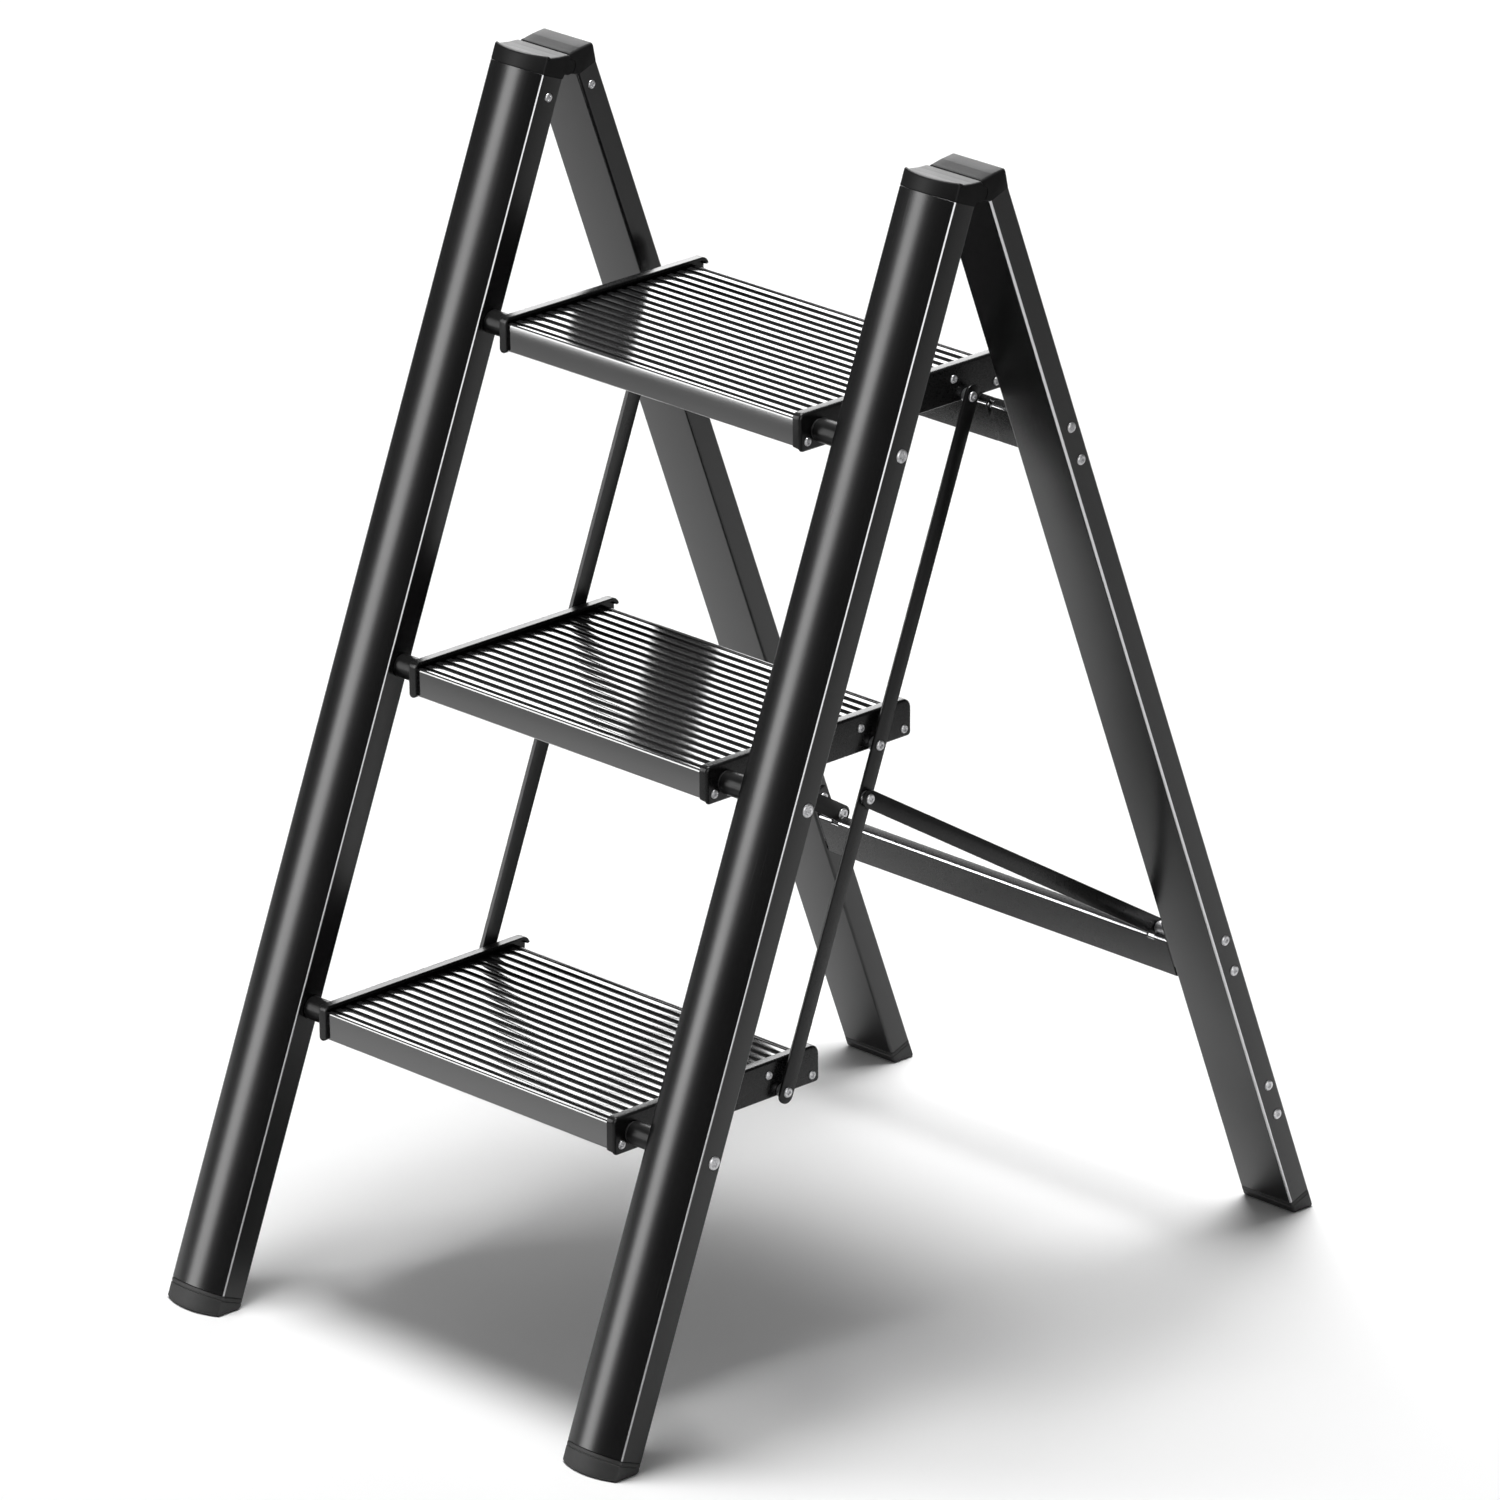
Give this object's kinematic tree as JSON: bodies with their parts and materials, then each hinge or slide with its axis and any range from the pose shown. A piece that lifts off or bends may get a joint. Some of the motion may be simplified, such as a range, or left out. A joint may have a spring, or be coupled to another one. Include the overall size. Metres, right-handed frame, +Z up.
{
  "type": "folding step ladder",
  "caption": "Folding step ladder: bowed front frame and straight rear frame hinged at the top caps, with ribbed treads that fold flat between them on link bars.",
  "frame": {"origin": "on the floor, in the middle of the open ladder's footprint", "axes": "+Z up, +X to the user's right when facing the steps, +Y to the rear"},
  "size_m": [0.4452, 0.6734, 0.8217],
  "materials": {
    "front_stile": "black anodised, glossy",
    "rear_leg": "black anodised, satin gloss",
    "tread": "black anodised, satin gloss",
    "bracket": "black powder coat",
    "cross_brace": "black powder coat",
    "flat_bar": "black powder coat",
    "cap": "black moulded plastic, fine grain",
    "foot": "black moulded rubber",
    "sleeve": "black coated steel",
    "bush": "black nylon",
    "fastener": "bright zinc"
  },
  "bodies": {
    "front_frame": {"front_stile_left": "front_stile", "front_stile_right": "front_stile", "front_cap_left": "cap", "front_cap_right": "cap", "front_foot_left": "foot", "front_foot_right": "foot", "hinge_pins": "fastener", "step_pivot_bolts": "fastener", "step_pivot_sleeves": "sleeve", "step_pivot_nuts": "fastener", "stile_rivets": "fastener"},
    "rear_frame": {"rear_leg_left": "rear_leg", "rear_leg_right": "rear_leg", "rear_cap_left": "cap", "rear_cap_right": "cap", "rear_foot_left": "foot", "rear_foot_right": "foot", "upper_cross_brace": "cross_brace", "lower_cross_brace": "cross_brace", "rear_leg_rivets": "fastener", "fold_bar_pins": "fastener"},
    "top_step": {"top_tread": "tread", "top_bracket_left": "bracket", "top_bracket_right": "bracket", "top_bracket_screws": "fastener", "top_link_pivots": "fastener", "top_pivot_bushes": "bush"},
    "middle_step": {"middle_tread": "tread", "middle_bracket_left": "bracket", "middle_bracket_right": "bracket", "middle_bracket_screws": "fastener", "middle_link_pivots": "fastener", "middle_pivot_bushes": "bush"},
    "bottom_step": {"bottom_tread": "tread", "bottom_bracket_left": "bracket", "bottom_bracket_right": "bracket", "bottom_bracket_screws": "fastener", "bottom_link_pivots": "fastener", "bottom_pivot_bushes": "bush"},
    "link_left": {"link_bar_left": "flat_bar", "link_washer_left": "fastener"},
    "fold_bar_left": {"fold_bar_left": "flat_bar", "fold_bar_rivet_left": "fastener"},
    "link_right": {"link_bar_right": "flat_bar", "link_washer_right": "fastener"},
    "fold_bar_right": {"fold_bar_right": "flat_bar", "fold_bar_rivet_right": "fastener"}
  },
  "joints": [
    {"name": "rear_frame_fold", "type": "hinge", "parent": "front_frame", "child": "rear_frame", "pos_m": [0, 0.01074, 0.80953], "axis": [-1, 0, 0], "range_deg": [0, 40]},
    {"name": "bottom_step_fold", "type": "hinge", "parent": "front_frame", "child": "bottom_step", "pos_m": [0, -0.23884, 0.20054], "axis": [1, 0, 0], "range_deg": [0, 65.6]},
    {"name": "middle_step_fold", "type": "hinge", "parent": "front_frame", "child": "middle_step", "pos_m": [0, -0.15162, 0.42413], "axis": [1, 0, 0], "range_deg": [0, 65.6]},
    {"name": "top_step_fold", "type": "hinge", "parent": "front_frame", "child": "top_step", "pos_m": [0, -0.0644, 0.64772], "axis": [1, 0, 0], "range_deg": [0, 65.6]},
    {"name": "link_left_pivot", "type": "hinge", "parent": "middle_step", "child": "link_left", "pos_m": [-0.1495, -0.01532, 0.41473], "axis": [-1, 0, 0], "range_deg": [0, 65.6]},
    {"name": "link_right_pivot", "type": "hinge", "parent": "middle_step", "child": "link_right", "pos_m": [0.1495, -0.01532, 0.41473], "axis": [-1, 0, 0], "range_deg": [0, 65.6]},
    {"name": "fold_bar_left_pivot", "type": "hinge", "parent": "rear_frame", "child": "fold_bar_left", "pos_m": [-0.1536, 0.2478, 0.21357], "axis": [-1, 0, 0], "range_deg": [0, 35.2]},
    {"name": "fold_bar_right_pivot", "type": "hinge", "parent": "rear_frame", "child": "fold_bar_right", "pos_m": [0.1536, 0.2478, 0.21357], "axis": [-1, 0, 0], "range_deg": [0, 35.2]}
  ],
  "couplings": [
    {"joint": "bottom_step_fold", "follows": "rear_frame_fold", "ratio": 1.6375},
    {"joint": "middle_step_fold", "follows": "rear_frame_fold", "ratio": 1.6375},
    {"joint": "top_step_fold", "follows": "rear_frame_fold", "ratio": 1.6375},
    {"joint": "link_left_pivot", "follows": "rear_frame_fold", "ratio": 1.6375},
    {"joint": "link_right_pivot", "follows": "rear_frame_fold", "ratio": 1.6375},
    {"joint": "fold_bar_left_pivot", "follows": "rear_frame_fold", "ratio": 0.878},
    {"joint": "fold_bar_right_pivot", "follows": "rear_frame_fold", "ratio": 0.878}
  ]
}
